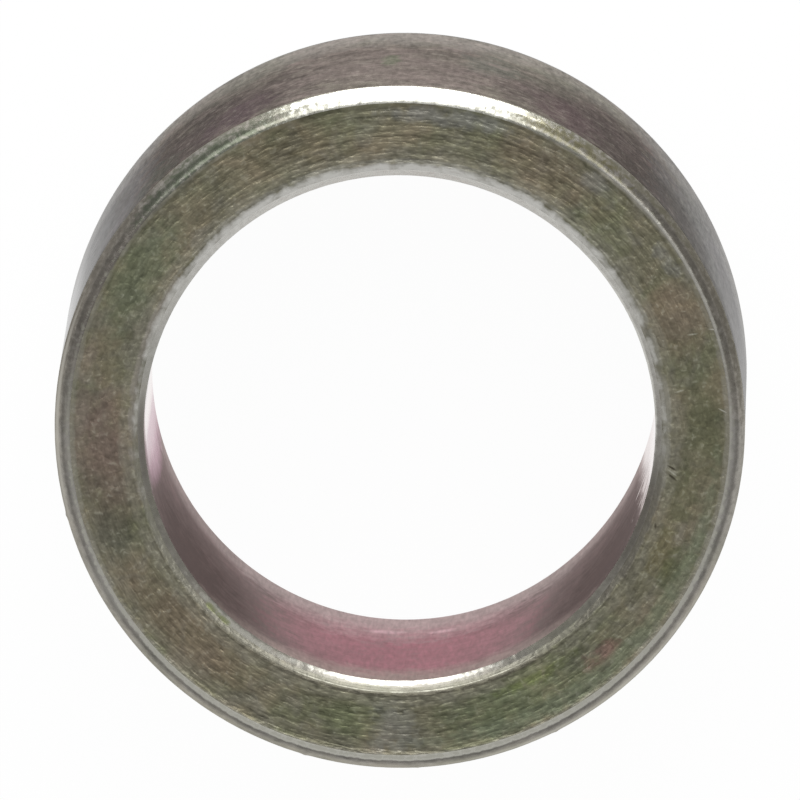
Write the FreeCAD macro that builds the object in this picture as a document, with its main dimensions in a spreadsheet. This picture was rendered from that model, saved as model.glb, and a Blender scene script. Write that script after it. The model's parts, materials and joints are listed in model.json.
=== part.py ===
import FreeCAD, Part
import os
import Sketcher

# A plain turned steel spacer ring that lies on one of its end faces.
# The origin is the centre of that lower face, and +Z runs up along the bore's axis.
# Lengths are in millimetres.

SIZES = [
    ("bore_diameter", 20.0, "hole for the shaft or bolt"),
    ("wall_thickness", 3.5, "from the bore to the outside, which makes the ring 27 across"),
    ("ring_length", 16.0, "from one end face to the other"),
    ("rim_chamfer_width", 0.45, "outer chamfer, measured across the end face"),
    ("rim_chamfer_depth", 0.85, "outer chamfer, measured along the axis"),
    ("mouth_chamfer_width", 0.50, "bore chamfer, measured across the end face"),
    ("mouth_chamfer_depth", 0.60, "bore chamfer, measured along the axis"),
    ("rim_edge_radius", 0.25, "rounding where the outer chamfer meets the end face"),
    ("mouth_edge_radius", 0.30, "rounding where the bore chamfer meets the end face"),
]

FULL_TURN = 360.0


def write_sizes(doc):
    """The table of driving dimensions: name, value and note."""
    sheet = doc.addObject("Spreadsheet::Sheet", "sizes")
    for row, (alias, value, note) in enumerate(SIZES, start=1):
        sheet.set(f"A{row}", alias)
        sheet.set(f"B{row}", str(value))
        sheet.setAlias(f"B{row}", alias)
        sheet.set(f"C{row}", note)
    doc.recompute()


def origin_plane(body, role):
    """One of the body's own three planes, found by its role."""
    return next(f for f in body.Origin.OriginFeatures if f.Role == role)


# Corners of the half section, from the lower end of the bore wall and anticlockwise:
# how far each lies from the axis, and how far up from the lower end face.
ON_LOWER_FACE = "0"
BORE_WALL = "sizes.bore_diameter / 2"
OUTSIDE = "sizes.bore_diameter / 2 + sizes.wall_thickness"
SECTION = {
    "bore_low": (BORE_WALL, "sizes.mouth_chamfer_depth"),
    "mouth_low": (BORE_WALL + " + sizes.mouth_chamfer_width", ON_LOWER_FACE),
    "rim_low": (OUTSIDE + " - sizes.rim_chamfer_width", ON_LOWER_FACE),
    "outside_low": (OUTSIDE, "sizes.rim_chamfer_depth"),
    "outside_high": (OUTSIDE, "sizes.ring_length - sizes.rim_chamfer_depth"),
    "rim_high": (OUTSIDE + " - sizes.rim_chamfer_width", "sizes.ring_length"),
    "mouth_high": (BORE_WALL + " + sizes.mouth_chamfer_width", "sizes.ring_length"),
    "bore_high": (BORE_WALL, "sizes.ring_length - sizes.mouth_chamfer_depth"),
}
START_INDEX = 1
END_INDEX = 2
ACROSS_AXIS_INDEX = -1


def measure(sketch, name, kind, line, rule):
    """A named dimension from the origin to a line's first point, tied to its rule."""
    value = sketch.evalExpression(rule)
    dimension = Sketcher.Constraint(kind, ACROSS_AXIS_INDEX, START_INDEX, line, START_INDEX, value)
    sketch.renameConstraint(sketch.addConstraint(dimension), name)
    sketch.setExpression(f"Constraints.{name}", rule)


def draw_section(body):
    """The closed half section of the ring, its corners tied to the driving dimensions."""
    sketch = body.newObject("Sketcher::SketchObject", "ring_section")
    sketch.AttachmentSupport = (origin_plane(body, "XZ_Plane"), [""])
    sketch.MapMode = "FlatFace"
    names = list(SECTION)
    pairs = list(zip(names, names[1:] + names[:1]))
    corners = {}
    for name, rules in SECTION.items():
        across, up = (sketch.evalExpression(rule) for rule in rules)
        corners[name] = FreeCAD.Vector(across, up, 0)
    lines = {}
    for name, following in pairs:
        lines[name] = sketch.addGeometry(Part.LineSegment(corners[name], corners[following]), False)
    for name, following in pairs:
        joined = Sketcher.Constraint("Coincident", lines[name], END_INDEX, lines[following], START_INDEX)
        sketch.addConstraint(joined)
    for name, (across_rule, up_rule) in SECTION.items():
        measure(sketch, f"{name}_across", "DistanceX", lines[name], across_rule)
        if up_rule == ON_LOWER_FACE:
            on_axis = Sketcher.Constraint("PointOnObject", lines[name], START_INDEX, ACROSS_AXIS_INDEX)
            sketch.addConstraint(on_axis)
        else:
            measure(sketch, f"{name}_up", "DistanceY", lines[name], up_rule)
    return sketch


def turn_section(body, sketch):
    """The section turned once round the bore's axis."""
    ring = body.newObject("PartDesign::Revolution", "turned_ring")
    ring.Profile = sketch
    ring.ReferenceAxis = (sketch, ["V_Axis"])
    ring.Angle = FULL_TURN
    sketch.Visibility = False
    return ring


def flat_faces(shape):
    """The two end faces, which are the only flat ones."""
    return [face for face in shape.Faces if isinstance(face.Surface, Part.Plane)]


def edge_names(shape, wires):
    """Names, in the shape, of the edges that these wires hold."""
    wanted = [edge for wire in wires for edge in wire.Edges]
    numbered = enumerate(shape.Edges, start=1)
    return [f"Edge{number}" for number, edge in numbered if any(edge.isSame(w) for w in wanted)]


def rim_edges(shape):
    """The outer edge of each end face."""
    return edge_names(shape, [face.OuterWire for face in flat_faces(shape)])


def mouth_edges(shape):
    """The inner edge of each end face, round the bore's mouth."""
    inner = [w for face in flat_faces(shape) for w in face.Wires if not w.isSame(face.OuterWire)]
    return edge_names(shape, inner)


def round_edges(body, base, name, edges, radius_rule):
    """A small rounding where a chamfer runs out into the end faces."""
    rounding = body.newObject("PartDesign::Fillet", name)
    rounding.Base = (base, edges)
    rounding.setExpression("Radius", radius_rule)
    body.Tip = rounding
    return rounding


def make_spacer_ring(doc):
    """The whole spacer: one turned piece, the same at both ends."""
    body = doc.addObject("PartDesign::Body", "spacer_ring")
    body.Label = "spacer_ring"
    body.Placement = FreeCAD.Placement()
    sketch = draw_section(body)
    doc.recompute()
    ring = turn_section(body, sketch)
    doc.recompute()
    rims = round_edges(body, ring, "rim_rounding", rim_edges(ring.Shape), "sizes.rim_edge_radius")
    doc.recompute()
    round_edges(body, rims, "mouth_rounding", mouth_edges(rims.Shape), "sizes.mouth_edge_radius")
    doc.recompute()
    return body


def check_document(doc, bodies):
    """Stops before anything is written if a feature failed or a shape isn't one sound solid."""
    for item in doc.Objects:
        faults = {"Invalid", "Error"} & set(item.State)
        if faults:
            raise RuntimeError(f"{item.Name} is {', '.join(sorted(faults))}")
    for body in bodies:
        shape = body.Shape
        if shape.isNull() or not shape.isValid() or len(shape.Solids) != 1:
            raise RuntimeError(f"{body.Label} isn't one valid solid")


def main():
    os.makedirs("parts", exist_ok=True)
    doc = FreeCAD.newDocument("spacer")
    write_sizes(doc)
    bodies = [make_spacer_ring(doc)]
    doc.recompute()
    check_document(doc, bodies)
    for body in bodies:
        body.Shape.exportStep(f"parts/{body.Label}.step")
        print(body.Label, "volume", round(body.Shape.Volume, 2), "faces", len(body.Shape.Faces))


main()
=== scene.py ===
import json
import math
from collections import namedtuple

import bpy
from mathutils import Matrix, Vector, noise


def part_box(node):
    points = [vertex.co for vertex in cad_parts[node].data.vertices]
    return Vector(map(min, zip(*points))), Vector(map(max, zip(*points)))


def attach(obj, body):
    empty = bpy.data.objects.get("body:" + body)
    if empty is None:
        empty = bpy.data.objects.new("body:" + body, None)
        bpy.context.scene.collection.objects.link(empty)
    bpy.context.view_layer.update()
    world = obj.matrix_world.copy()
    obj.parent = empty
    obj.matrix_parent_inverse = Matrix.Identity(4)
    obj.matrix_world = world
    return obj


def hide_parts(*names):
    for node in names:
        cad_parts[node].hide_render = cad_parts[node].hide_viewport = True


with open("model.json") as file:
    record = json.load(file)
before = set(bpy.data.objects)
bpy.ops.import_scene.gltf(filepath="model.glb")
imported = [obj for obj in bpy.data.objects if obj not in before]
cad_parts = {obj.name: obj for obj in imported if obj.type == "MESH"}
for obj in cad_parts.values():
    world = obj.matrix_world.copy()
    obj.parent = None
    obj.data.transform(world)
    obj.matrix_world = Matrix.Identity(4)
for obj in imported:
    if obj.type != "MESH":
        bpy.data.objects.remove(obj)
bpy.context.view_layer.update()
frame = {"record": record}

# The look of a turned steel spacer ring with a yellow-olive zinc finish.
# It lies on one end face, and the camera looks down on it. Lengths are in metres, and MM turns
# millimetres into them. Azimuths are in degrees, clockwise from +Y as seen from above.

NODE = "spacer_ring"
BODY = "root"
MM = 0.001

# The ring's own sizes, from the frame
ring_low, ring_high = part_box(NODE)
OUTER_RADIUS = (ring_high.x - ring_low.x) / 2
RING_LENGTH = ring_high.z - ring_low.z
MID_HEIGHT = RING_LENGTH / 2
BORE_MOUNT = next(m for m in frame["record"]["mounts"] if m["name"] == "bore")
BORE_RADIUS = BORE_MOUNT["dims"]["r_mm"] * MM

# Edge forms of the upper end, fitted to the light on them, and of the lower end, as on the solid
RIM_CREST_RADIUS = 12.91 * MM
RIM_CREST_ROUNDING = 0.48 * MM
RIM_CHAMFER_SLOPE = 62.0
RIM_ROLL = 0.015 * MM
RIM_LIP_WIDTH = 0.20 * MM
FACE_DEPTH = 0.03 * MM
MOUTH_CHAMFER_WIDTH = 0.50 * MM
MOUTH_CHAMFER_DEPTH = 0.34 * MM
MOUTH_STEEP_WIDTH = 0.25 * MM
MOUTH_STEEP_END = 0.15 * MM
LOWER_RIM_WIDTH = 0.45 * MM
LOWER_RIM_DEPTH = 0.85 * MM
LOWER_RIM_ROLL = 0.03 * MM
LOWER_MOUTH_WIDTH = 0.50 * MM
LOWER_MOUTH_DEPTH = 0.60 * MM

# Mesh density. Crowding is how much of a run's spacing is drawn in towards its two corners.
SEGMENTS_AROUND = 720
WALL_STEPS = 9
FACE_STEPS = 9
EDGE_STEPS = 4
CREST_STEPS = 8
CROWDING = 0.8

# Tool marks and wear: how often each kind of noise changes round the ring and per millimetre along
# or across it, and how deep it goes. The offset keeps the slow noise apart from the others.
SLOW_TURNS = 5.0
SLOW_PER_MM = 0.2
SLOW_OFFSET = 3.0
FINE_TURNS = 40.0
FINE_PER_MM = 1.1
RAGGED_TURNS = 90.0
RAGGED_PER_MM = 3.0
RIM_SLOW_WEAR = 0.005 * MM
RIM_FINE_WEAR = 0.010 * MM
RIM_RAGGED_WEAR = 0.012 * MM
RIM_SLOW_SAG = 0.004 * MM
RIM_RAGGED_SAG = 0.010 * MM
MOUTH_FINE_WEAR = 0.010 * MM
MOUTH_RAGGED_SAG = 0.008 * MM
FACE_SAG = 0.004 * MM
WALL_WAVE = 0.003 * MM
BORE_WAVE = 0.002 * MM

# Small burrs left at the foot of the upper rim, as (azimuth, half width in degrees, height)
BURR_DEPTH = 0.6 * MM
BURR_REACH = 0.3 * MM
BURRS = [
    (-164.0, 0.7, 0.030 * MM),
    (-105.0, 0.6, 0.035 * MM),
    (153.0, 0.6, 0.030 * MM),
    (177.0, 0.5, 0.015 * MM),
]

# Camera, fitted to the circles of the near and far end faces. Its distance and the place of the
# upper face's centre are in outer radii.
PHOTO_SIZE = 800
CAMERA_TILT = math.radians(8.84)
CAMERA_ROLL = math.radians(5.40)
CAMERA_DISTANCE = 101.0
PIXELS_PER_RADIUS = 345.4
FACE_CENTRE_RIGHT = -0.00135
FACE_CENTRE_DOWN = 0.0858
SENSOR_WIDTH = 36.0

# Ground and room. The floor's colour and glow and the room's brightness are shares of paper white.
FLOOR_HALF_WIDTH = 1.5
FLOOR_COLOUR = 0.86
FLOOR_GLOW = 0.97
ROOM_BRIGHTNESS = 0.65

# The ring's zones, in the order of its material slots
ZONES = ["bore", "mouth", "end", "rim", "outside"]


def add_object(name, data):
    """A new object in the scene."""
    made = bpy.data.objects.new(name, data)
    bpy.context.scene.collection.objects.link(made)
    return made


# The ring's form

def rim_corners():
    """Corners of the rounded crest and the chamfer under it, as (radius, depth, zone, steps)."""
    corners = []
    for step in range(CREST_STEPS + 1):
        slope = math.radians(RIM_CHAMFER_SLOPE * step / CREST_STEPS)
        radius = RIM_CREST_RADIUS + RIM_CREST_ROUNDING * math.sin(slope)
        depth = RIM_CREST_ROUNDING * (1 - math.cos(slope))
        corners.append((radius, depth, "rim", 1))
    radius, depth = corners.pop()[:2]
    foot = depth + (OUTER_RADIUS - radius) * math.tan(math.radians(RIM_CHAMFER_SLOPE))
    corners.append((radius, depth, "rim", EDGE_STEPS))
    corners.append((OUTER_RADIUS - RIM_ROLL, foot - 2 * RIM_ROLL, "rim", 1))
    corners.append((OUTER_RADIUS, foot + 2 * RIM_ROLL, "outside", WALL_STEPS))
    return corners


def upper_corners():
    """The corners of the section's upper half, from mid bore over the upper end to mid outside.

    Each one is (radius, depth below the end face, zone, steps). Zone and steps are those of the run
    that starts there.
    """
    return [
        (BORE_RADIUS, MID_HEIGHT, "bore", WALL_STEPS),
        (BORE_RADIUS, MOUTH_CHAMFER_DEPTH, "mouth", EDGE_STEPS),
        (BORE_RADIUS + MOUTH_STEEP_WIDTH, MOUTH_STEEP_END, "end", EDGE_STEPS),
        (BORE_RADIUS + MOUTH_CHAMFER_WIDTH, FACE_DEPTH, "end", FACE_STEPS),
        (RIM_CREST_RADIUS - RIM_LIP_WIDTH, FACE_DEPTH, "end", EDGE_STEPS),
        *rim_corners(),
        (OUTER_RADIUS, MID_HEIGHT, "outside", 1),
    ]


def lower_corners():
    """The corners of the section's lower half, from mid outside under the ring to mid bore."""
    roll = LOWER_RIM_ROLL
    return [
        (OUTER_RADIUS, MID_HEIGHT, "outside", WALL_STEPS),
        (OUTER_RADIUS, LOWER_RIM_DEPTH + 2 * roll, "outside", 1),
        (OUTER_RADIUS - roll, LOWER_RIM_DEPTH - 2 * roll, "rim", EDGE_STEPS),
        (OUTER_RADIUS - LOWER_RIM_WIDTH + roll, 2 * roll, "rim", 1),
        (OUTER_RADIUS - LOWER_RIM_WIDTH - roll, 0.0, "end", FACE_STEPS),
        (BORE_RADIUS + LOWER_MOUTH_WIDTH, 0.0, "mouth", EDGE_STEPS),
        (BORE_RADIUS, LOWER_MOUTH_DEPTH, "bore", WALL_STEPS),
        (BORE_RADIUS, MID_HEIGHT, "bore", 1),
    ]


def run_points(corners):
    """Points along the runs between corners, as (radius, depth, zone)."""
    points = []
    for (r0, d0, zone, steps), (r1, d1, _, _) in zip(corners, corners[1:]):
        for step in range(steps):
            share = step / steps
            # Points crowd towards both ends of a run, so that the corners stay crisp.
            eased = 0.5 - 0.5 * math.cos(math.pi * share)
            share = (1 - CROWDING) * share + CROWDING * eased
            points.append((r0 + (r1 - r0) * share, d0 + (d1 - d0) * share, zone))
    return points


def turned_noise(azimuth, turns, along):
    """Noise from about -1 to 1 that closes on itself round the ring."""
    a = math.radians(azimuth)
    return noise.noise(Vector((math.sin(a) * turns, math.cos(a) * turns, along)))


def relief(azimuth, r, z, zone):
    """How far a surface point moves across and down, in metres."""
    slow = turned_noise(azimuth, SLOW_TURNS, z / MM * SLOW_PER_MM + SLOW_OFFSET)
    fine = turned_noise(azimuth, FINE_TURNS, z / MM * FINE_PER_MM + r / MM)
    ragged = turned_noise(azimuth, RAGGED_TURNS, r / MM * RAGGED_PER_MM)
    bumps = max(0.0, fine)
    nicks = max(0.0, ragged)
    if zone == "rim" or (zone == "end" and r > RIM_CREST_RADIUS - RIM_LIP_WIDTH):
        inward = RIM_SLOW_WEAR * (1 + slow) + RIM_FINE_WEAR * bumps + RIM_RAGGED_WEAR * nicks
        return -inward, RIM_SLOW_SAG * (1 + slow) + RIM_RAGGED_SAG * nicks
    if zone == "mouth" or (zone == "end" and r < BORE_RADIUS + MOUTH_CHAMFER_WIDTH):
        return MOUTH_FINE_WEAR * bumps, MOUTH_RAGGED_SAG * abs(ragged)
    if zone == "end":
        return 0.0, FACE_SAG * (1 + fine)
    if zone == "outside":
        return -WALL_WAVE * (1 + fine), 0.0
    return BORE_WAVE * (1 + fine), 0.0


def burr_height(azimuth, z):
    """How far a burr at the rim's lower edge stands out, in metres."""
    if abs(z - (RING_LENGTH - BURR_DEPTH)) > BURR_REACH:
        return 0.0
    total = 0.0
    for place, half_width, height in BURRS:
        apart = abs((azimuth - place + 180.0) % 360.0 - 180.0)
        total += height * math.exp(-2 * (apart / half_width) ** 2)
    return total


def ring_vertices(section):
    """The section's points at every step round the ring."""
    vertices = []
    for turn in range(SEGMENTS_AROUND):
        azimuth = 360.0 * turn / SEGMENTS_AROUND
        a = math.radians(azimuth)
        for r, z, zone in section:
            across, down = relief(azimuth, r, z, zone)
            radius = r + across + burr_height(azimuth, z)
            height = z - down if z > MID_HEIGHT else z + down
            vertices.append((radius * math.sin(a), radius * math.cos(a), height))
    return vertices


def ring_faces(section):
    """The corners of every face, and the number of each face's zone."""
    count = len(section)
    faces = []
    zone_numbers = []
    for turn in range(SEGMENTS_AROUND):
        here = turn * count
        there = (turn + 1) % SEGMENTS_AROUND * count
        for index, (_, _, zone) in enumerate(section):
            after = (index + 1) % count
            faces.append((here + index, here + after, there + after, there + index))
            zone_numbers.append(ZONES.index(zone))
    return faces, zone_numbers


def make_ring(finishes):
    """The whole ring as one closed mesh, each zone with a finish of its own."""
    # The section runs up the bore, over the top, down the outside and back under.
    section = [(r, RING_LENGTH - depth, zone) for r, depth, zone in run_points(upper_corners())]
    section += run_points(lower_corners())
    faces, zone_numbers = ring_faces(section)
    mesh = bpy.data.meshes.new("turned_ring")
    mesh.from_pydata(ring_vertices(section), [], faces)
    mesh.update()
    for zone in ZONES:
        mesh.materials.append(finishes[zone])
    for polygon, number in zip(mesh.polygons, zone_numbers):
        polygon.material_index = number
        polygon.use_smooth = True
    # The bore's own edges are crisp.
    count = len(section)
    zones = [zone for _, _, zone in section]
    crisp = {index for index in range(count) if {zones[index - 1], zones[index]} == {"bore", "mouth"}}
    for edge in mesh.edges:
        first, second = (vertex % count for vertex in edge.vertices)
        edge.use_edge_sharp = first == second and first in crisp
    return add_object("turned_ring", mesh)


# Materials

class Shader:
    """A material's node tree, with short names for the nodes that the finishes use."""

    def __init__(self, name):
        self.material = bpy.data.materials.new(name)
        self.material.use_nodes = True
        self.tree = self.material.node_tree
        self.tree.nodes.clear()

    def node(self, kind, **settings):
        made = self.tree.nodes.new(kind)
        for key, value in settings.items():
            setattr(made, key, value)
        return made

    def put(self, socket, value):
        """Sets an input to a number or colour, or links it to another node's output."""
        if isinstance(value, bpy.types.NodeSocket):
            self.tree.links.new(value, socket)
        elif isinstance(value, tuple) and len(value) == 3 and socket.type == "RGBA":
            socket.default_value = (*value, 1.0)
        else:
            socket.default_value = value

    def math(self, operation, first, second=0.0):
        made = self.node("ShaderNodeMath", operation=operation)
        self.put(made.inputs[0], first)
        self.put(made.inputs[1], second)
        return made.outputs[0]

    def sum(self, *terms):
        """Adds (value, weight) terms up."""
        total = 0.0
        for value, weight in terms:
            total = self.math("ADD", total, self.math("MULTIPLY", value, weight))
        return total

    def fade(self, value, goal, share):
        """Moves a number that share of the way to its goal."""
        change = self.math("SUBTRACT", goal, value)
        return self.math("ADD", value, self.math("MULTIPLY", change, share))

    def combine(self, x, y, z):
        made = self.node("ShaderNodeCombineXYZ")
        for socket, value in zip(made.inputs, (x, y, z)):
            self.put(socket, value)
        return made.outputs[0]

    def noise(self, vector, scale=1.0, detail=3.0, roughness=0.5, distortion=0.0):
        made = self.node("ShaderNodeTexNoise")
        self.put(made.inputs["Vector"], vector)
        self.put(made.inputs["Scale"], scale)
        self.put(made.inputs["Detail"], detail)
        self.put(made.inputs["Roughness"], roughness)
        self.put(made.inputs["Distortion"], distortion)
        return made.outputs["Fac"]

    def remap(self, value, low, high, to_low=0.0, to_high=1.0):
        made = self.node("ShaderNodeMapRange", clamp=True)
        self.put(made.inputs["Value"], value)
        self.put(made.inputs["From Min"], low)
        self.put(made.inputs["From Max"], high)
        self.put(made.inputs["To Min"], to_low)
        self.put(made.inputs["To Max"], to_high)
        return made.outputs["Result"]

    def mix(self, share, first, second, blend="MIX"):
        made = self.node("ShaderNodeMix", data_type="RGBA", blend_type=blend)
        self.put(made.inputs["Factor"], share)
        colours = [socket for socket in made.inputs if socket.type == "RGBA"]
        self.put(colours[0], first)
        self.put(colours[1], second)
        return next(socket for socket in made.outputs if socket.type == "RGBA")

    def finish(self, surface):
        """Ends the tree in this surface and gives the material back."""
        output = self.node("ShaderNodeOutputMaterial")
        self.put(output.inputs["Surface"], surface.outputs[0])
        return self.material


def srgb(red, green, blue):
    """A colour written as 0 to 255 values, as the linear numbers that a shader takes."""
    def linear(value):
        share = value / 255
        return share / 12.92 if share <= 0.04045 else ((share + 0.055) / 1.055) ** 2.4
    return (linear(red), linear(green), linear(blue))


# A tinted stretch of a zone. azimuth and spread are in degrees, and a spread of None goes all the way
# round. centre and reach are its place and half width across the zone, in millimetres from the axis on
# an end face or an edge and above the floor on a wall, and None for both takes the zone's whole width.
# Raggedness breaks its edge up. A roughness other than None burnishes or dulls the stretch.
Spot = namedtuple(
    "Spot", "azimuth spread centre reach colour strength ragged roughness",
    defaults=(0.8, 1.6, None),
)
# A short scratch or nick on the upper end face. slant is its angle from the turning marks, in
# degrees, and its lengths are in millimetres.
Stroke = namedtuple("Stroke", "azimuth radius slant length width colour strength")

OLIVE = srgb(115, 112, 94)
GREEN = srgb(104, 110, 84)
BROWN = srgb(120, 107, 91)
RED_BROWN = srgb(117, 101, 94)
GREY = srgb(134, 134, 130)
LIGHT_GREY = srgb(152, 149, 144)
BEIGE = srgb(138, 135, 127)
PURPLE = srgb(112, 98, 98)
LIP_GREY = srgb(146, 144, 134)
PALE = srgb(172, 171, 158)
SILVER = srgb(214, 213, 204)
WHITE = srgb(240, 239, 232)
DARK = srgb(66, 62, 52)

# The moods of the finish.
# marks: how often the turning marks change round the ring, and across it per millimetre.
# dabs, mottle: how often those change per millimetre. side_marks: how much of the marks is left at
# the ring's sides. contrast: tone of the marks, long marks, dabs, mottle and drift. clouds: strength
# of the cool, warm and haze colours. specks: strength of the pale specks. roughness: its range.
# edge_tint: colour of the metal at a grazing angle. sheen: the range of grazing over which the metal
# turns glossy. bump: depth in millimetres, with the shares of the long marks and the dabs, and how
# much of it is left at the ring's sides.
TURNED_FACE = {
    "marks": (24.0, 6.5), "dabs": 4.6, "mottle": 1.5, "side_marks": 0.25,
    "contrast": (1.5, 1.0, 0.9, 0.4, 0.6),
    "clouds": 0.5, "cool": GREEN, "warm": BROWN, "haze": srgb(116, 113, 104),
    "specks": 0.22, "speck_colour": PALE,
    "roughness": (0.36, 0.44), "edge_tint": (0.8, 0.78, 0.7), "sheen": None,
    "bump": 0.028, "drawn_bump": 0.6, "dab_bump": 0.6, "side_bump": 1.0,
}
EDGE = {
    **TURNED_FACE, "marks": (24.0, 4.0), "mottle": 4.0, "side_marks": 0.8,
    "contrast": (0.6, 0.4, 0.4, 0.7, 0.5), "side_bump": 0.4,
    "clouds": 0.2, "specks": 0.12, "roughness": (0.24, 0.30), "bump": 0.012,
}
MOUTH = {**EDGE, "contrast": (0.5, 0.4, 0.2, 0.5, 0.5), "specks": 0.05, "bump": 0.009}
WALL = {
    **TURNED_FACE, "marks": (75.0, 1.0), "dabs": 3.4, "side_marks": 0.9,
    "contrast": (0.9, 0.3, 1.0, 0.7, 0.6), "cool": srgb(112, 116, 98), "warm": PURPLE,
    "specks": 0.25, "side_bump": 0.2, "roughness": (0.50, 0.58), "edge_tint": (0.40, 0.39, 0.38),
    "sheen": (0.935, 0.975), "bump": 0.012,
}
BORE = {
    **WALL, "contrast": (0.8, 0.2, 0.3, 0.9, 0.6), "specks": 0.0, "roughness": (0.38, 0.46),
    "cool": srgb(98, 87, 84), "warm": srgb(104, 84, 86), "haze": srgb(90, 78, 76),
    "bump": 0.003, "dab_bump": 0.4,
    "edge_tint": (0.86, 0.74, 0.72), "sheen": (0.946, 0.962),
}

# The long marks are drawn out from the turning marks by these shares.
LONG_MARK_TURNS = 0.2
LONG_MARK_LINES = 0.9
# Sizes of the three cloud fields, as changes per millimetre
CLOUD_SCALE = 0.30
DRIFT_SCALE = 0.47
HAZE_SCALE = 0.85
# Where on its noise field a cloud or a speck begins and is full, and the mottle's range
CLOUD_RANGE = (0.46, 0.66)
SPECK_RANGE = (0.62, 0.74)
MOTTLE_RANGE = (0.3, 0.7)
# How much the marks and long marks show at the ring's front and its back, and how much the dabs
# show at its sides and along its line from front to back
MARKS_FRONT_TO_BACK = (1.0, 0.7)
LONG_MARKS_FRONT_TO_BACK = (0.5, 1.2)
DABS_SIDE_TO_MIDDLE = (1.0, 0.55)
# Where a spot and a stroke begin and are full, as shares of their half width from the middle
SPOT_EDGE = (1.0, 0.1)
STROKE_EDGE = (1.0, 0.4)
GRAZING_ROUGHNESS = 0.06


def ring_coordinates(shader):
    """Sockets for the point's place on the ring, in millimetres, and its direction from the axis.

    "crossing" is 1 at the front and the back of the ring, where turning marks lie across the light,
    and 0 at its sides.
    """
    scaled = shader.node("ShaderNodeVectorMath", operation="SCALE")
    shader.put(scaled.inputs[0], shader.node("ShaderNodeTexCoord").outputs["Object"])
    shader.put(scaled.inputs["Scale"], 1 / MM)
    split = shader.node("ShaderNodeSeparateXYZ")
    shader.put(split.inputs[0], scaled.outputs[0])
    x, y, z = split.outputs
    square = shader.math("ADD", shader.math("MULTIPLY", x, x), shader.math("MULTIPLY", y, y))
    radius = shader.math("SQRT", square)
    north = shader.math("DIVIDE", y, radius)
    return {
        "place": scaled.outputs[0],
        "radius": radius,
        "height": z,
        "east": shader.math("DIVIDE", x, radius),
        "north": north,
        "crossing": shader.math("MULTIPLY", north, north),
    }


def turned_vector(shader, at, across, turns, lines):
    """A seamless vector for marks that run round the ring.

    turns is how often the marks change round the ring, and lines how often they change across it,
    per millimetre.
    """
    return shader.combine(
        shader.math("MULTIPLY", at["east"], turns),
        shader.math("MULTIPLY", at["north"], turns),
        shader.math("MULTIPLY", at[across], lines),
    )


def patch(shader, at, across, spot, raggedness):
    """A socket that is 1 in the middle of a spot's stretch of the ring and 0 beyond it."""
    apart = shader.math("MULTIPLY", shader.math("SUBTRACT", raggedness, 0.5), spot.ragged)
    if spot.spread is not None:
        a = math.radians(spot.azimuth)
        facing = shader.sum((at["east"], math.sin(a)), (at["north"], math.cos(a)))
        bend = 1 / (1 - math.cos(math.radians(spot.spread)))
        turned = shader.math("MULTIPLY", shader.math("SUBTRACT", 1.0, facing), bend)
        apart = shader.math("ADD", apart, turned)
    if spot.reach is not None:
        offset = shader.math("DIVIDE", shader.math("SUBTRACT", at[across], spot.centre), spot.reach)
        apart = shader.math("ADD", apart, shader.math("MULTIPLY", offset, offset))
    return shader.remap(apart, *SPOT_EDGE)


def scratch(shader, at, mark):
    """A socket that is 1 along a short mark on the upper end face and 0 beside it."""
    a = math.radians(mark.azimuth)
    mapped = shader.node("ShaderNodeMapping", vector_type="TEXTURE")
    shader.put(mapped.inputs["Vector"], at["place"])
    place = (mark.radius * math.sin(a), mark.radius * math.cos(a), RING_LENGTH / MM)
    mapped.inputs["Location"].default_value = place
    mapped.inputs["Rotation"].default_value = (0.0, 0.0, math.radians(mark.slant - mark.azimuth))
    mapped.inputs["Scale"].default_value = (mark.length / 2, mark.width / 2, 1.0)
    apart = shader.node("ShaderNodeVectorMath", operation="LENGTH")
    shader.put(apart.inputs[0], mapped.outputs[0])
    return shader.remap(apart.outputs["Value"], *STROKE_EDGE)


def swing(shader, field, share, strength):
    """A noise field as a change of tone about zero."""
    centred = shader.math("SUBTRACT", field, 0.5)
    return shader.math("MULTIPLY", shader.math("MULTIPLY", centred, share), strength)


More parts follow.
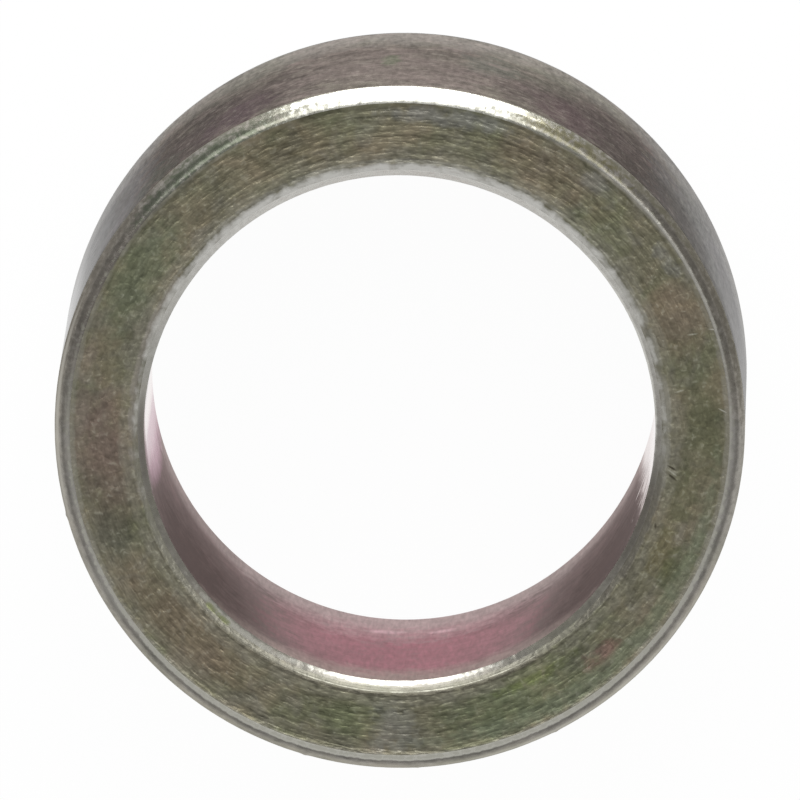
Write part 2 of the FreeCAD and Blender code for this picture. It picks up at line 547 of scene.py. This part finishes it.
def zinc_finish(name, across, base, look, tints=(), bands=(), scratches=()):
    """Zinc with a passivated film over turning marks: the one finish, in one zone's mood.

    Tints lie under the marks and bands over them, so that a band looks smooth.
    """
    shader = Shader(name)
    at = ring_coordinates(shader)
    place, crossing = at["place"], at["crossing"]
    turns, lines = look["marks"]
    marks_at = turned_vector(shader, at, across, turns, lines)
    drawn_at = turned_vector(shader, at, across, turns * LONG_MARK_TURNS, lines * LONG_MARK_LINES)
    ripple = shader.noise(marks_at, detail=1.0, distortion=0.3)
    drawn = shader.noise(drawn_at, detail=1.0)
    dabs = shader.noise(place, scale=look["dabs"], detail=1.0, distortion=0.4)
    mottle = shader.noise(place, scale=look["mottle"], detail=4.0, roughness=0.6, distortion=0.3)
    clouds = shader.noise(place, scale=CLOUD_SCALE, detail=3.0, distortion=0.5)
    drift = shader.noise(place, scale=DRIFT_SCALE, detail=3.0, distortion=0.5)
    haze = shader.noise(place, scale=HAZE_SCALE, detail=3.0, distortion=0.8)

    # The marks' light and dark tone is partly painted light and shade: turning marks show most where they
    # lie across the light, and the dabs of the film elsewhere.
    mark_fall = shader.remap(at["north"], -1.0, 1.0, *MARKS_FRONT_TO_BACK)
    mark_share = shader.remap(crossing, 0.0, 1.0, look["side_marks"], 1.0)
    mark_share = shader.math("MULTIPLY", mark_share, mark_fall)
    drawn_fall = shader.remap(at["north"], -1.0, 1.0, *LONG_MARKS_FRONT_TO_BACK)
    drawn_share = shader.math("MULTIPLY", crossing, drawn_fall)
    dab_share = shader.remap(crossing, 0.0, 1.0, *DABS_SIDE_TO_MIDDLE)

    colour = base
    for field, tint in ((clouds, look["cool"]), (drift, look["warm"]), (haze, look["haze"])):
        colour = shader.mix(shader.remap(field, *CLOUD_RANGE, 0.0, look["clouds"]), colour, tint)
    roughness = shader.remap(mottle, *MOTTLE_RANGE, *look["roughness"])
    if look["sheen"]:
        grazing = shader.node("ShaderNodeLayerWeight").outputs["Facing"]
        roughness = shader.fade(roughness, GRAZING_ROUGHNESS, shader.remap(grazing, *look["sheen"]))
    for tint in tints:
        share = shader.math("MULTIPLY", patch(shader, at, across, tint, mottle), tint.strength)
        colour = shader.mix(share, colour, tint.colour)
        if tint.roughness is not None:
            roughness = shader.fade(roughness, tint.roughness, share)

    tone = 1.0
    shown = ((ripple, mark_share), (drawn, drawn_share), (dabs, dab_share), (mottle, 1.0), (drift, 1.0))
    for (field, share), strength in zip(shown, look["contrast"]):
        tone = shader.math("ADD", tone, swing(shader, field, share, strength))
    colour = shader.mix(1.0, colour, shader.combine(tone, tone, tone), blend="MULTIPLY")
    specks = shader.remap(dabs, *SPECK_RANGE, 0.0, look["specks"])
    colour = shader.mix(shader.math("MULTIPLY", specks, dab_share), colour, look["speck_colour"])
    for band in bands:
        share = shader.math("MULTIPLY", patch(shader, at, across, band, mottle), band.strength)
        colour = shader.mix(share, colour, band.colour)
    for mark in scratches:
        share = shader.math("MULTIPLY", scratch(shader, at, mark), mark.strength)
        colour = shader.mix(share, colour, mark.colour)

    bumped = shader.node("ShaderNodeBump")
    shader.put(bumped.inputs["Strength"], shader.remap(crossing, 0.0, 1.0, look["side_bump"], 1.0))
    bumped.inputs["Distance"].default_value = look["bump"] * MM
    height = shader.sum((ripple, 1.0), (drawn, look["drawn_bump"]), (dabs, look["dab_bump"]))
    shader.put(bumped.inputs["Height"], height)

    metal = shader.node("ShaderNodeBsdfPrincipled")
    shader.put(metal.inputs["Base Color"], colour)
    metal.inputs["Metallic"].default_value = 1.0
    metal.inputs["Specular Tint"].default_value = (*look["edge_tint"], 1.0)
    shader.put(metal.inputs["Roughness"], roughness)
    shader.put(metal.inputs["Normal"], bumped.outputs["Normal"])
    return shader.finish(metal)


# Two yellow-green crystals of the film on the edge between the mouth's chamfer and its lip
CRYSTALS = [
    Spot(-134.0, 2.0, 10.22, 0.13, srgb(132, 138, 92), 0.75, 2.5),
    Spot(-137.6, 2.0, 10.22, 0.13, srgb(132, 138, 92), 0.75, 2.5),
]


def end_face_finish():
    """Olive, green and brown film over turning marks, paler towards both edges, with painted highlights
    on the lip and at the mouth and painted shade beside the mouth.
    """
    tints = [
        Spot(-59.0, 15.0, 11.8, 1.2, srgb(102, 110, 88), 0.6),
        Spot(-93.0, 14.0, 11.6, 1.3, RED_BROWN, 0.7),
        Spot(-110.0, 7.0, 12.0, 1.0, srgb(98, 98, 86), 0.7),
        Spot(-104.0, 8.0, 11.5, 1.3, srgb(92, 85, 75), 0.4, 2.5),
        Spot(-135.0, 18.0, 11.6, 1.2, BROWN, 0.6),
        Spot(-171.0, 7.0, 11.6, 1.2, GREEN, 0.6),
        Spot(158.0, 17.0, 11.7, 1.3, srgb(98, 107, 81), 0.7),
        Spot(138.5, 4.5, 11.9, 0.5, srgb(130, 94, 93), 0.5, 4.0),
        Spot(115.0, 6.0, 11.3, 0.7, srgb(118, 110, 76), 0.45, 4.0),
        Spot(117.0, 6.0, 12.0, 0.5, srgb(100, 108, 78), 0.4, 4.0),
        Spot(152.0, 9.0, 11.0, 0.5, srgb(108, 117, 70), 0.5, 4.0),
        Spot(90.0, 12.0, 11.9, 1.0, srgb(100, 101, 78), 0.7),
        Spot(104.0, 8.0, 11.3, 0.8, srgb(94, 98, 74), 0.5, 2.5),
        Spot(68.0, 10.0, 11.6, 1.2, BROWN, 0.6),
        Spot(28.0, 14.0, 11.7, 1.2, BROWN, 0.5),
        Spot(-20.0, 14.0, 12.0, 0.6, srgb(96, 90, 72), 0.5, 3.0),
        Spot(138.0, 48.0, 12.45, 0.40, srgb(120, 127, 106), 0.6, 2.0),
        Spot(-142.0, 50.0, 12.5, 0.30, srgb(126, 122, 108), 0.4, 3.0),
        Spot(-84.0, 14.0, 12.5, 0.35, srgb(132, 122, 112), 0.5, 3.0),
        Spot(181.0, 5.0, 11.9, 1.4, GREY, 0.4, 4.0),
        Spot(10.0, 14.0, 12.5, 0.45, GREY, 0.6, 3.0),
        Spot(38.0, 4.0, 12.4, 0.4, GREY, 0.4, 4.0),
        Spot(57.0, 4.0, 12.4, 0.4, GREY, 0.4, 4.0),
        Spot(0.0, None, 10.75, 0.30, srgb(136, 133, 120), 0.4, 3.0),
        Spot(0.0, 75.0, 10.60, 0.14, srgb(150, 148, 138), 0.7, 3.0),
        # Painted highlight: the pale lip along the crest, brightest at the front.
        Spot(180.0, 118.0, 12.91, 0.09, srgb(146, 143, 132), 0.5, 2.5),
        Spot(-45.0, 20.0, 12.86, 0.10, LIP_GREY, 0.4, 3.0),
        Spot(42.0, 24.0, 12.90, 0.10, srgb(158, 155, 145), 0.6, 3.0),
    ]
    bands = [
        # Painted shade: a dark line outside the mouth at the front.
        Spot(180.0, 105.0, 10.57, 0.06, DARK, 0.35),
        Spot(0.0, None, 10.34, 0.19, srgb(142, 140, 130), 0.7, 2.0),
        Spot(78.0, 28.0, 10.50, 0.17, srgb(152, 150, 140), 0.6, 3.0),
        Spot(-78.0, 28.0, 10.50, 0.17, srgb(152, 146, 138), 0.6, 3.0),
        # Painted highlight: the mouth's outer facet nearly white at the back.
        Spot(0.0, 98.0, 10.31, 0.26, srgb(230, 229, 224), 0.85, 2.0),
        # Painted highlight: the pale lip at the sides.
        Spot(96.0, 50.0, 12.84, 0.16, srgb(142, 139, 128), 0.6, 3.0),
        Spot(-96.0, 50.0, 12.84, 0.16, srgb(142, 139, 128), 0.6, 3.0),
        # Painted shade beside the mouth at the front.
        Spot(180.0, 60.0, 10.48, 0.15, srgb(84, 81, 72), 0.8, 2.0),
        Spot(139.0, 13.0, 10.36, 0.11, srgb(92, 89, 80), 0.6, 2.0),
        # Painted highlight: a thin light line on the mouth's facet at the front.
        Spot(180.0, 30.0, 10.41, 0.03, srgb(190, 189, 174), 0.6, 4.0),
        *CRYSTALS,
        Spot(116.0, 22.0, 10.30, 0.30, srgb(98, 94, 86), 0.75, 2.0),
    ]
    scratches = [
        Stroke(72.0, 12.90, 70.0, 0.50, 0.07, SILVER, 0.5),
        Stroke(71.7, 12.06, 80.0, 0.50, 0.09, PALE, 0.5),
        Stroke(82.0, 11.05, 100.0, 0.45, 0.09, PALE, 0.5),
        Stroke(86.5, 12.65, 60.0, 0.45, 0.07, SILVER, 0.4),
        Stroke(98.0, 10.75, 66.0, 0.50, 0.12, DARK, 0.9),
        Stroke(99.9, 10.82, 60.0, 0.55, 0.12, DARK, 0.9),
        Stroke(99.0, 10.80, 62.0, 0.50, 0.10, PALE, 0.7),
        Stroke(110.7, 10.69, 20.0, 0.30, 0.12, DARK, 0.7),
    ]
    return zinc_finish("zinc_end_face", "radius", OLIVE, TURNED_FACE, tints, bands, scratches)


def rim_chamfer_finish():
    """Light grey film, with painted highlights along the crest, the outer edge and at the back, and
    painted shade beside them.
    """
    tints = [
        # Painted shade: darker stretches at both sides of the back, and a dark line along the chamfer.
        Spot(62.0, 28.0, None, None, srgb(102, 98, 90), 0.9),
        Spot(-62.0, 28.0, None, None, srgb(104, 99, 93), 0.9),
        Spot(0.0, None, 13.21, 0.12, srgb(116, 112, 105), 0.5, 0.5),
        Spot(0.0, 42.0, None, None, srgb(112, 114, 98), 0.7, 3.0),
    ]
    bands = [
        # Painted highlights: the pale crest at the front and the light line along it at one side.
        Spot(180.0, 82.0, 12.99, 0.16, srgb(246, 245, 234), 0.95, 2.0),
        Spot(180.0, 124.0, 12.99, 0.12, srgb(178, 176, 167), 0.7, 1.6),
        Spot(180.0, 110.0, 12.98, 0.12, srgb(160, 159, 146), 0.3, 12.0),
        Spot(116.0, 40.0, 12.94, 0.07, srgb(186, 184, 174), 0.5, 1.5),
        Spot(-120.0, 8.0, 13.15, 0.12, srgb(170, 168, 160), 0.4, 2.0),
        # Painted highlight along the crest.
        Spot(60.0, 32.0, 12.97, 0.09, srgb(184, 182, 174), 0.7, 1.5),
        Spot(30.0, 14.0, 13.22, 0.26, srgb(126, 119, 84), 0.5, 4.0),
        # Painted shade: darker stretches on the crest and chamfer beside the top highlight.
        Spot(33.0, 15.0, 13.07, 0.11, srgb(106, 103, 88), 0.6, 1.0),
        Spot(44.0, 22.0, 13.37, 0.12, srgb(97, 94, 80), 0.6, 2.0),
        Spot(74.0, 18.0, 13.38, 0.12, srgb(84, 80, 74), 0.6, 1.0),
        Spot(-37.0, 18.0, 13.12, 0.33, srgb(87, 94, 80), 0.75, 2.5),
        # Painted sheen along the outer edge at one side and towards the front.
        Spot(-88.0, 23.0, 13.40, 0.08, srgb(180, 177, 170), 0.7, 1.0),
        Spot(145.0, 35.0, 13.42, 0.08, srgb(204, 202, 194), 0.4, 1.5),
        # Painted highlight: the whole chamfer nearly white at the back, on top of the floor card's real
        # highlight.
        Spot(1.0, 22.0, None, None, SILVER, 0.95, 4.0),
    ]
    return zinc_finish("zinc_rim_chamfer", "radius", LIGHT_GREY, EDGE, tints, bands)


def mouth_chamfer_finish():
    """Beige film, with painted highlights at the front, the back and the right side, and darker stretches
    at both sides.
    """
    bands = [
        # Painted highlights: the chamfer pale at the front and nearly white over the whole back half.
        Spot(180.0, 26.0, 10.08, 0.12, SILVER, 0.8, 3.0),
        Spot(-142.0, 18.0, 10.15, 0.14, srgb(196, 194, 184), 0.7, 3.0),
        Spot(0.0, 102.0, None, None, srgb(240, 239, 233), 0.95, 0.5),
        Spot(112.0, 16.0, 10.12, 0.20, srgb(100, 96, 90), 0.7, 1.0),
        Spot(-93.0, 12.0, 10.12, 0.20, srgb(100, 96, 90), 0.6, 1.0),
        # Painted highlight where the chamfer meets the hole at the right.
        Spot(65.0, 34.0, 10.02, 0.09, WHITE, 0.95, 1.0),
        *CRYSTALS,
    ]
    return zinc_finish("zinc_mouth_chamfer", "radius", BEIGE, MOUTH, (), bands)


def outer_wall_finish():
    """Brown-grey film, darker to either side of the back, with painted sheen and lower roughness at the
    sides and painted light towards the floor.
    """
    tints = [
        Spot(0.0, 36.0, 9.5, 8.5, srgb(110, 101, 97), 0.75),
        Spot(38.0, 26.0, 11.0, 9.0, srgb(80, 72, 70), 0.8),
        Spot(-38.0, 26.0, 11.0, 9.0, srgb(80, 72, 70), 0.8),
        # Painted sheen: pale, glossier stretches at the sides, where the wall is seen at a grazing angle.
        Spot(86.0, 42.0, None, None, srgb(168, 169, 171), 0.8, 0.8, 0.32),
        Spot(-84.0, 40.0, None, None, srgb(166, 168, 172), 0.8, 0.8, 0.25),
        Spot(-84.0, 18.0, None, None, srgb(200, 202, 204), 0.9, 0.8, 0.10),
        # Painted sheen low on the wall at both sides.
        Spot(-66.0, 26.0, 0.5, 5.0, srgb(206, 206, 206), 0.6, 0.8, 0.20),
        Spot(72.0, 34.0, 0.5, 5.0, srgb(206, 206, 206), 0.6, 0.8, 0.22),
        Spot(52.0, 15.0, 13.0, 5.0, srgb(76, 70, 66), 0.6),
        Spot(68.0, 22.0, 15.3, 2.0, srgb(92, 90, 86), 0.65),
        Spot(-66.0, 20.0, 15.3, 1.2, srgb(92, 90, 86), 0.6),
        # Painted light: lighter towards the floor end all round.
        Spot(0.0, None, 0.0, 5.0, srgb(168, 164, 158), 0.5),
        Spot(-1.8, 1.8, 8.6, 1.6, srgb(104, 112, 92), 0.5, 4.0),
        Spot(-29.0, 8.0, 12.5, 3.5, srgb(98, 82, 88), 0.5, 4.0),
        Spot(-45.0, 6.0, 13.0, 3.0, srgb(92, 98, 88), 0.5, 4.0),
        Spot(29.0, 7.0, 12.0, 4.0, srgb(106, 90, 92), 0.5, 4.0),
        Spot(15.0, 6.0, 7.0, 3.0, srgb(112, 116, 108), 0.4, 4.0),
        Spot(-28.0, 10.0, 4.0, 3.0, srgb(118, 120, 108), 0.3, 3.0),
        Spot(24.0, 10.0, 5.0, 4.0, srgb(122, 122, 110), 0.3, 3.0),
    ]
    return zinc_finish("zinc_outer_wall", "height", srgb(126, 117, 111), WALL, tints)


def bore_wall_finish():
    """Brown-grey film, pink at the front between two dark stretches, with painted sheen and lower
    roughness at the sides, painted light towards the floor and two painted glints.
    """
    tints = [
        Spot(0.0, 84.0, None, None, srgb(136, 126, 118), 0.85),
        Spot(125.0, 28.0, 13.0, 12.0, srgb(50, 37, 34), 0.92, 1.0, 0.55),
        Spot(-125.0, 28.0, 13.0, 12.0, srgb(48, 36, 33), 0.95, 1.0, 0.55),
        Spot(180.0, 36.0, 8.0, 14.0, srgb(160, 98, 115), 0.9),
        # Painted light: lighter towards the floor end, most at the front.
        Spot(180.0, 50.0, 0.0, 7.0, srgb(202, 190, 190), 0.5),
        Spot(0.0, None, 0.6, 3.0, srgb(176, 168, 166), 0.5),
        # Painted sheen: the pink film made pale at the left side, and nearly white where the wall is seen
        # most at grazing.
        Spot(-96.0, 12.6, 7.0, 11.0, srgb(182, 122, 168), 0.9, 0.8, 0.16),
        Spot(-90.5, 5.5, 8.0, 20.0, srgb(240, 239, 240), 0.95, 1.0, 0.05),
        Spot(-95.0, 13.0, 16.0, 2.8, srgb(104, 98, 99), 0.85, 1.0, 0.45),
        # Painted sheen at the right side, nearly white.
        Spot(97.0, 14.0, 8.0, 20.0, srgb(206, 203, 200), 0.9, 4.0, 0.10),
        Spot(96.0, 9.0, 8.0, 20.0, srgb(246, 245, 243), 0.95, 1.2, 0.05),
        # Painted glints: two small light streaks low at the front.
        Spot(-175.7, 4.8, 3.9, 0.55, srgb(232, 198, 208), 0.55, 1.5),
        Spot(171.4, 4.0, 4.2, 0.50, srgb(232, 198, 208), 0.55, 1.5),
        Spot(180.0, 55.0, 16.0, 3.4, srgb(160, 150, 142), 0.8),
    ]
    return zinc_finish("zinc_bore_wall", "height", srgb(92, 79, 79), BORE, tints)


def floor_finish():
    """Matt pale paper that is white to the camera and in the metal's reflections."""
    shader = Shader("floor_white")
    paper = shader.node("ShaderNodeBsdfDiffuse")
    paper.inputs["Color"].default_value = (FLOOR_COLOUR, FLOOR_COLOUR, FLOOR_COLOUR, 1.0)
    glow = shader.node("ShaderNodeEmission")
    rays = shader.node("ShaderNodeLightPath")
    seen = shader.math("MAXIMUM", rays.outputs["Is Camera Ray"], rays.outputs["Is Glossy Ray"])
    seen = shader.math("MAXIMUM", seen, rays.outputs["Is Transmission Ray"])
    both = shader.node("ShaderNodeMixShader")
    shader.put(both.inputs[0], shader.math("MULTIPLY", seen, FLOOR_GLOW))
    shader.put(both.inputs[1], paper.outputs[0])
    shader.put(both.inputs[2], glow.outputs[0])
    return shader.finish(both)


# The set

def make_floor():
    """A wide white floor, white to the camera but for the ring's soft shadow."""
    half = FLOOR_HALF_WIDTH
    mesh = bpy.data.meshes.new("floor")
    corners = [(-half, -half, 0), (half, -half, 0), (half, half, 0), (-half, half, 0)]
    mesh.from_pydata(corners, [], [(0, 1, 2, 3)])
    mesh.materials.append(floor_finish())
    floor = add_object("floor", mesh)


def make_softbox(name, place, size, brightness, target=(0.0, 0.0, 0.01)):
    """A rectangular softbox that points at the ring. Its brightness is in units of paper white."""
    light = bpy.data.lights.new(name, "AREA")
    light.shape = "RECTANGLE"
    light.size, light.size_y = size
    light.energy = brightness * math.pi * size[0] * size[1]
    lamp = add_object(name, light)
    lamp.location = place
    lamp.rotation_mode = "QUATERNION"
    lamp.rotation_quaternion = (Vector(target) - Vector(place)).to_track_quat("-Z", "Y")
    lamp.visible_camera = False


def light_scene():
    """A pale room, softboxes behind and above the ring, and a small card behind its foot."""
    world = bpy.data.worlds.new("studio")
    bpy.context.scene.world = world
    world.use_nodes = True
    background = world.node_tree.nodes["Background"]
    background.inputs["Color"].default_value = (1.0, 1.0, 1.0, 1.0)
    background.inputs["Strength"].default_value = ROOM_BRIGHTNESS
    make_softbox("rear_softbox", (0.0, 0.50, 0.25), (0.40, 0.50), 3.0, target=(0.0, 0.0, 0.25))
    make_softbox("top_softbox", (0.0, 0.28, 0.53), (0.60, 0.30), 2.5)
    make_softbox("floor_card", (0.0012, 0.040, 0.0055), (0.034, 0.010), 8.5, target=(0.0012, 0.0, 0.0055))


def make_camera():
    """The camera at the photograph's viewing angle, from the fitted tilt, roll and distance."""
    tilt, roll = CAMERA_TILT, CAMERA_ROLL
    # The ring's +Z, +X and +Y in camera terms: right, down, away.
    ring_up = Vector((-math.sin(tilt) * math.sin(roll), math.sin(tilt) * math.cos(roll), -math.cos(tilt)))
    ring_right = Vector((1.0, 0.0, 0.0))
    ring_right = (ring_right - ring_right.dot(ring_up) * ring_up).normalized()
    ring_back = ring_up.cross(ring_right)
    right = Vector((ring_right.x, ring_back.x, ring_up.x))
    down = Vector((ring_right.y, ring_back.y, ring_up.y))
    away = Vector((ring_right.z, ring_back.z, ring_up.z))
    near_face = Vector((0.0, 0.0, RING_LENGTH))
    offset = FACE_CENTRE_RIGHT * right + FACE_CENTRE_DOWN * down + CAMERA_DISTANCE * away
    data = bpy.data.cameras.new("camera")
    camera = add_object("camera", data)
    turn = Matrix((right, -down, -away)).transposed()
    camera.matrix_world = Matrix.Translation(near_face - offset * OUTER_RADIUS) @ turn.to_4x4()
    data.sensor_width = SENSOR_WIDTH
    data.lens = PIXELS_PER_RADIUS * CAMERA_DISTANCE * SENSOR_WIDTH / PHOTO_SIZE
    data.clip_start = 0.01
    data.clip_end = 10.0
    bpy.context.scene.camera = camera


ring = make_ring({
    "end": end_face_finish(),
    "rim": rim_chamfer_finish(),
    "mouth": mouth_chamfer_finish(),
    "outside": outer_wall_finish(),
    "bore": bore_wall_finish(),
})
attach(ring, BODY)
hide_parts(NODE)
make_floor()
light_scene()
make_camera()
bpy.context.scene.view_settings.view_transform = "Standard"
